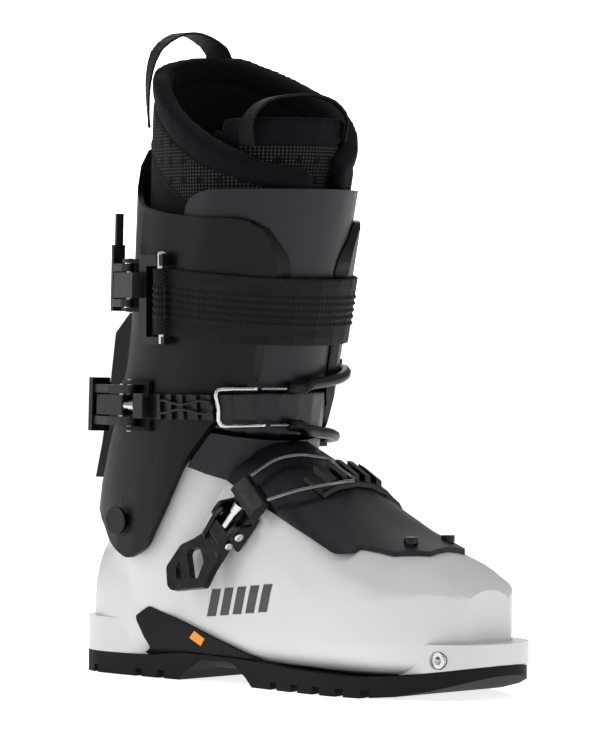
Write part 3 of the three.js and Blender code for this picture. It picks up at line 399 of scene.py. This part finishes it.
def skin(o, voxel, passes):
    weld = o.modifiers.new("weld", "WELD")
    weld.merge_threshold = 2e-6
    remesh = o.modifiers.new("skin", "REMESH")
    remesh.mode = "VOXEL"
    remesh.voxel_size = voxel * MM * (1 if FINE else 1.4)
    remesh.use_smooth_shade = True
    soften = o.modifiers.new("soften", "SMOOTH")
    soften.factor = 0.5
    soften.iterations = passes


def soft_edges(o, radius):
    weld = o.modifiers.new("weld", "WELD")
    weld.merge_threshold = 2e-6
    if radius:
        faces = o.modifiers.new("faces", "DECIMATE")
        faces.decimate_type = "DISSOLVE"
        faces.angle_limit = math.radians(1.5)
        bevel = o.modifiers.new("edges", "BEVEL")
        bevel.width = radius * MM
        bevel.segments = 2
        bevel.limit_method = "ANGLE"
        bevel.angle_limit = math.radians(34)
    normals = o.modifiers.new("normals", "WEIGHTED_NORMAL")
    normals.weight = 60


for node, (made, radius) in MOULDED.items():
    dress(NODES[node], made)
    soft_edges(NODES[node], radius)
for made, parts in BEVELLED.items():
    for node, radius in parts:
        dress(NODES[node], made)
        soft_edges(NODES[node], radius)


# ---------------------------------------------------------------- soft pieces
def soft_copy(node, name, voxel, passes, made):
    """A remeshed and softened piece that stands for a plain CAD solid."""
    o = bpy.data.objects.new(name, NODES[node].data.copy())
    bpy.context.scene.collection.objects.link(o)
    skin(o, voxel, passes)
    depsgraph = bpy.context.evaluated_depsgraph_get()
    mesh = bpy.data.meshes.new_from_object(o.evaluated_get(depsgraph))
    o.modifiers.clear()
    o.data = mesh
    dress(o, made)
    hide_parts(node)
    return o


def points_of(o):
    co = np.empty(len(o.data.vertices) * 3, np.float32)
    o.data.vertices.foreach_get("co", co)
    normals = np.empty(len(o.data.vertices) * 3, np.float32)
    o.data.vertex_normals.foreach_get("vector", normals)
    return co.reshape(-1, 3).astype(float), normals.reshape(-1, 3).astype(float)


def set_points(o, co):
    o.data.vertices.foreach_set("co", co.astype(np.float32).ravel())
    o.data.update()


def store(o, values):
    attribute = o.data.attributes.new("cloth", "FLOAT_VECTOR", "POINT")
    attribute.data.foreach_set("vector", values.astype(np.float32).ravel())


def along_of(co, centre, axes, bins=120):
    """Length round `centre` in the plane of the two axes, measured on the mean line of the points."""
    flat = co[:, axes] - np.array(centre)
    angle = np.arctan2(flat[:, 1], flat[:, 0])
    radius = np.hypot(flat[:, 0], flat[:, 1])
    number = np.clip(((angle + math.pi) / (2 * math.pi) * bins).astype(int), 0, bins - 1)
    total = np.bincount(number, radius, bins)
    count = np.bincount(number, minlength=bins)
    mean = np.where(count > 0, total / np.maximum(count, 1), radius.mean())
    mean = np.convolve(np.r_[mean[-3:], mean, mean[:3]], np.ones(7) / 7, "valid")
    edges = np.r_[0, np.cumsum(mean * 2 * math.pi / bins)]
    return np.interp(angle, np.linspace(-math.pi, math.pi, bins + 1), edges)


def smooth_step(x):
    x = np.clip(x, 0, 1)
    return x * x * (3 - 2 * x)


EDGE_FACING = 0.45  # a normal less radial than this belongs to the panel's edge


def edge_depth(co, normals, centre, low):
    """Distance of each point from the panel's free edge, where its normal lies along the panel."""
    out = co[:, :2] - np.array(centre)
    out /= np.maximum(np.linalg.norm(out, axis=1), 1e-6)[:, None]
    facing = np.abs((out * normals[:, :2]).sum(1))
    rim = np.flatnonzero((facing < EDGE_FACING) & (co[:, 2] > low))
    tree = KDTree(len(rim))
    for k, index in enumerate(rim):
        tree.insert(co[index], k)
    tree.balance()
    return np.array([tree.find(p)[2] for p in co])


ROLL_DEPTH = 11.5 * MM
SEAM_DEPTH = 12.5 * MM
SEAM_WIDTH = 0.0012
CORD_RISE = 0.8 * MM
CORD_WIDTH = 0.0011
DIP_BELOW = 0.003
DIP_FALL = 0.6 * MM
DIP_WIDTH = 0.001


def liner_panel(node, name, made, centre, low, roll, groove, piping):
    """A foam panel with a rolled edge, a sewn groove under it and a piping line further down."""
    o = soft_copy(node, name, 1.5, 6, made)
    co, normals = points_of(o)
    depth = edge_depth(co, normals, centre, low)
    bulge = roll * np.cos(np.clip(depth / ROLL_DEPTH, 0, 1) * math.pi / 2)
    seam = -groove * np.exp(-(((depth - SEAM_DEPTH) / SEAM_WIDTH) ** 2))
    cord = CORD_RISE * np.exp(-(((depth - piping) / CORD_WIDTH) ** 2))
    below = -DIP_FALL * np.exp(-(((depth - piping - DIP_BELOW) / DIP_WIDTH) ** 2))
    co += normals * (bulge + seam + cord + below)[:, None]
    set_points(o, co)
    along = along_of(co, centre, [0, 1])
    outside = ((co[:, :2] - np.array(centre)) * normals[:, :2]).sum(1) > 0
    store(o, np.c_[along, co[:, 2], np.where(outside, depth, 0)])
    return o


collar = liner_panel("liner_cuff", "liner_collar", COLLAR, (0.06, 0.0), low=0.2, roll=0.0012,
                     groove=0.0012, piping=0.0352)
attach(collar, "cuff")
tongue_pad = liner_panel("liner_tongue", "liner_tongue_pad", TONGUE_CLOTH, (0.05, 0.0), low=0.23,
                         roll=0.001, groove=0.001, piping=0.037)
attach(tongue_pad, "cuff")
for node, name in (("liner_foot", "liner_bootie"), ("footbed", "footbed_pad")):
    piece = soft_copy(node, name, 2.0, 4, FLEECE)
    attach(piece, "shell")

ankle = soft_copy("liner_ankle", "liner_gaiter", 2.0, 4, FLEECE)
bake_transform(ankle)
bend = soft_copy("tongue_flex", "tongue_bend", 0.9, 5, NAVY)
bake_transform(bend)

# ---------------------------------------------------------------- webbing
LEG_MIDDLE = (0.06, 0.0)
STRAP_ROWS = 5
STRAP_RIB = 3.6 * MM
STRAP_DOT = 3.2 * MM
STRAP_RELIEF = 1.0 * MM
STRAP_MIDDLE = 0.204
STRAP_DROOP = 0.1


def strap():
    """The power strap: five raised dotted rows between two flat woven bands."""
    o = soft_copy("power_strap", "woven_power_strap", 0.6, 3, STRAP)
    co, normals = points_of(o)
    along = along_of(co, LEG_MIDDLE, [0, 1], 180)
    middle = STRAP_MIDDLE - STRAP_DROOP * (co[:, 0] - LEG_MIDDLE[0])
    across = co[:, 2] - middle
    out = co[:, :2] - np.array(LEG_MIDDLE)
    outside = (out * normals[:, :2]).sum(1) > 0
    field = smooth_step((STRAP_ROWS * STRAP_RIB / 2 - np.abs(across)) / 0.0008)
    rows = 0.5 + 0.5 * np.cos(2 * math.pi * across / STRAP_RIB)
    dotted = 0.5 + 0.5 * np.cos(2 * math.pi * along / STRAP_DOT)
    relief = field * rows * (0.35 + 0.65 * dotted) * STRAP_RELIEF + (1 - field) * 0.1 * MM
    co += normals * (relief * outside)[:, None]
    set_points(o, co)
    store(o, np.c_[along, across, np.zeros(len(co))])
    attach(o, "cuff")


def loop(node, name, centre):
    """A pull loop of ribbed webbing, whose length is measured round `centre` in the YZ plane."""
    o = soft_copy(node, name, 0.5, 4, LOOP)
    co, _ = points_of(o)
    along = along_of(co, centre, [1, 2])
    middle = co[:, 0].mean()
    store(o, np.c_[along, co[:, 0] - middle, np.zeros(len(co))])
    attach(o, "cuff")


strap()
loop("rear_pull_loop", "rear_pull_webbing", (0.004, 0.315))
loop("tongue_pull_loop", "tongue_pull_webbing", (-0.004, 0.290))

# ---------------------------------------------------------------- small fittings
CUFF_PIN_LINE = Vector((0.0065, 0.0278, 0.9996))
STRAP_PIN_LINE = Vector((0.0089, 0.0188, 0.9998))
INSTEP_PIN_LINE = Vector((-0.7928, 0.1962, 0.5771))


def grid(name, rows, made, body):
    """One closed skin over equal rings of points, with flat ends."""
    width = len(rows[0])
    faces = []
    for r in range(len(rows) - 1):
        for c in range(width):
            d = (c + 1) % width
            faces.append((r * width + c, r * width + d, (r + 1) * width + d, (r + 1) * width + c))
    faces.append(tuple(range(width))[::-1])
    faces.append(tuple((len(rows) - 1) * width + c for c in range(width)))
    mesh = bpy.data.meshes.new(name)
    mesh.from_pydata([tuple(p) for row in rows for p in row], [], faces)
    mesh.update()
    o = bpy.data.objects.new(name, mesh)
    bpy.context.scene.collection.objects.link(o)
    dress(o, made)
    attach(o, body)


def cap(name, node, line, sign, radius, height, made, body):
    """A domed head with a shallow drilled centre on one end of a pin."""
    co = np.array([v.co for v in NODES[node].data.vertices], float)
    line = (Vector(line) * sign).normalized()
    reach = co @ np.array(line)
    end = Vector(co[reach > reach.max() - 2e-5].mean(0))
    side = line.orthogonal().normalized()
    other = line.cross(side)
    profile = [
        (1.0, 0.0), (1.0, 0.35), (0.93, 0.62), (0.75, 0.85),
        (0.5, 0.97), (0.34, 1.0), (0.28, 0.93), (0.1, 0.8),
    ]  # share of the radius, share of the height
    rows = []
    for share, rise in profile:
        centre = end + line * (rise * height)
        ring = [2 * math.pi * k / 24 for k in range(24)]
        rows.append([centre + (side * math.cos(a) + other * math.sin(a)) * radius * share for a in ring])
    grid(name, rows, made, body)


cap("instep_axis_head", "instep_lever_pin_lower", INSTEP_PIN_LINE, -1, 0.0026, 0.0011, STEEL,
    "shell")
cap("instep_link_head", "instep_link_pin", INSTEP_PIN_LINE, -1, 0.0024, 0.001, STEEL,
    "instep_lever")
cap("strap_pin_head", "strap_pin", STRAP_PIN_LINE, 1, 0.0028, 0.0012, STEEL, "cuff")
cap("cuff_link_head", "cuff_link_pin", CUFF_PIN_LINE, 1, 0.002, 0.0008, STEEL, "cuff_lever")


# ---------------------------------------------------------------- pieces laid on a surface
def tree_of(node):
    """A search tree over a node's skin as it is drawn."""
    return BVHTree.FromObject(NODES[node], bpy.context.evaluated_depsgraph_get())


def tube(name, points, radius, made, body, sides=10):
    """A round wire along the points, with flat ends."""
    rows = []
    up = Vector((0, -1, 0))
    for k, p in enumerate(points):
        ahead = (points[min(k + 1, len(points) - 1)] - points[max(k - 1, 0)]).normalized()
        across = ahead.cross(up).normalized()
        lift = across.cross(ahead).normalized()
        ring = [2 * math.pi * q / sides for q in range(sides)]
        rows.append([p + (across * math.cos(a) + lift * math.sin(a)) * radius for a in ring])
    grid(name, rows, made, body)


KEEPER = [  # half of the keeper wire, along the rack and across it from its middle line, in mm
    (66, 3.4), (70, 3.2), (74, 2.2), (78, 1.3), (82, 1.2), (86, 2.1), (90, 3.2), (93.5, 3.4),
    (96, 2.6), (97.4, 1.3), (97.8, 0.0),
]
KEEPER_WIRE = 0.75 * MM
RACK_MIDDLE = 0.1477


def keeper():
    """The spring wire that lies on the rack's teeth and keeps the bail in its gap."""
    tree = tree_of("cuff_rack")
    path = [(x, z) for x, z in KEEPER] + [(x, -z) for x, z in KEEPER[-2::-1]]
    points = []
    for x, across in path:
        z = RACK_MIDDLE + across * MM
        starts = [Vector(((x + d) * MM, -0.2, z)) for d in (-4, -2, 0, 2, 4)]
        hits = [tree.ray_cast(start, Vector((0, 1, 0)))[0] for start in starts]
        near = [h.y for h in hits if h is not None]
        points.append(Vector((x * MM, min(near) - KEEPER_WIRE * 1.1, z)))
    tube("keeper_wire", points, KEEPER_WIRE, BLACK, "cuff_rack")


keeper()


def mark(name, node, outline, made, body, proud=0.00025, steps=10):
    """A thin raised patch: four corners (x, z) joined by straight sides, laid on a side that faces -Y."""
    tree = tree_of(node)
    (ax, az), (bx, bz), (cx, cz), (dx, dz) = outline
    rows = []
    for i in range(steps + 1):
        u = i / steps
        row = []
        for k in range(steps + 1):
            v = k / steps
            x = (ax * (1 - u) + bx * u) * (1 - v) + (dx * (1 - u) + cx * u) * v
            z = (az * (1 - u) + bz * u) * (1 - v) + (dz * (1 - u) + cz * u) * v
            hit, normal, _, _ = tree.ray_cast(Vector((x, -0.2, z)), Vector((0, 1, 0)))
            row.append((hit, normal))
        rows.append(row)
    if any(hit is None for row in rows for hit, _ in row):
        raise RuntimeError(f"{name} misses {node}")
    top = [[hit + normal * proud for hit, normal in row] for row in rows]
    under = [[hit - normal * 0.0004 for hit, normal in row] for row in rows]
    n = steps + 1
    verts = [tuple(p) for row in top + under for p in row]
    faces = []
    for i in range(steps):
        for k in range(steps):
            a, b, c, d = i * n + k, (i + 1) * n + k, (i + 1) * n + k + 1, i * n + k + 1
            faces.append((a, b, c, d))
            faces.append(tuple(n * n + q for q in (d, c, b, a)))
    ring = list(range(n)) + [i * n + steps for i in range(1, n)]
    ring += [steps * n + k for k in range(steps - 1, -1, -1)] + [i * n for i in range(steps - 1, 0, -1)]
    for k, a in enumerate(ring):
        b = ring[(k + 1) % len(ring)]
        faces.append((a, b, n * n + b, n * n + a))
    mesh = bpy.data.meshes.new(name)
    mesh.from_pydata(verts, [], faces)
    mesh.validate()
    mesh.update()
    o = bpy.data.objects.new(name, mesh)
    bpy.context.scene.collection.objects.link(o)
    dress(o, made)
    for polygon in o.data.polygons:
        polygon.use_smooth = False
    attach(o, body)


BAR_COUNT = 5
BAR_FROM, BAR_PITCH, BAR_WIDE, BAR_LEAN = 0.079, 0.0112, 0.0074, 0.005
BAR_FOOT, BAR_RISE, BAR_TALL, BAR_TILT = 0.0355, 0.0012, 0.0155, 0.0006
for k in range(BAR_COUNT):
    x0 = BAR_FROM + k * BAR_PITCH
    z0 = BAR_FOOT + k * BAR_RISE
    corners = [
        (x0, z0),
        (x0 + BAR_WIDE, z0 + BAR_TILT),
        (x0 + BAR_WIDE + BAR_LEAN, z0 + BAR_TALL),
        (x0 + BAR_LEAN, z0 + BAR_TALL - BAR_TILT),
    ]
    mark(f"side_bar_{k + 1}", "lower_shell", corners, MARK, "shell")

LOZENGE = [(0.0655, 0.0235), (0.0735, 0.0195), (0.0785, 0.0235), (0.0705, 0.0275)]
mark("sole_inlay", "outsole", LOZENGE, ORANGE, "shell", steps=6)
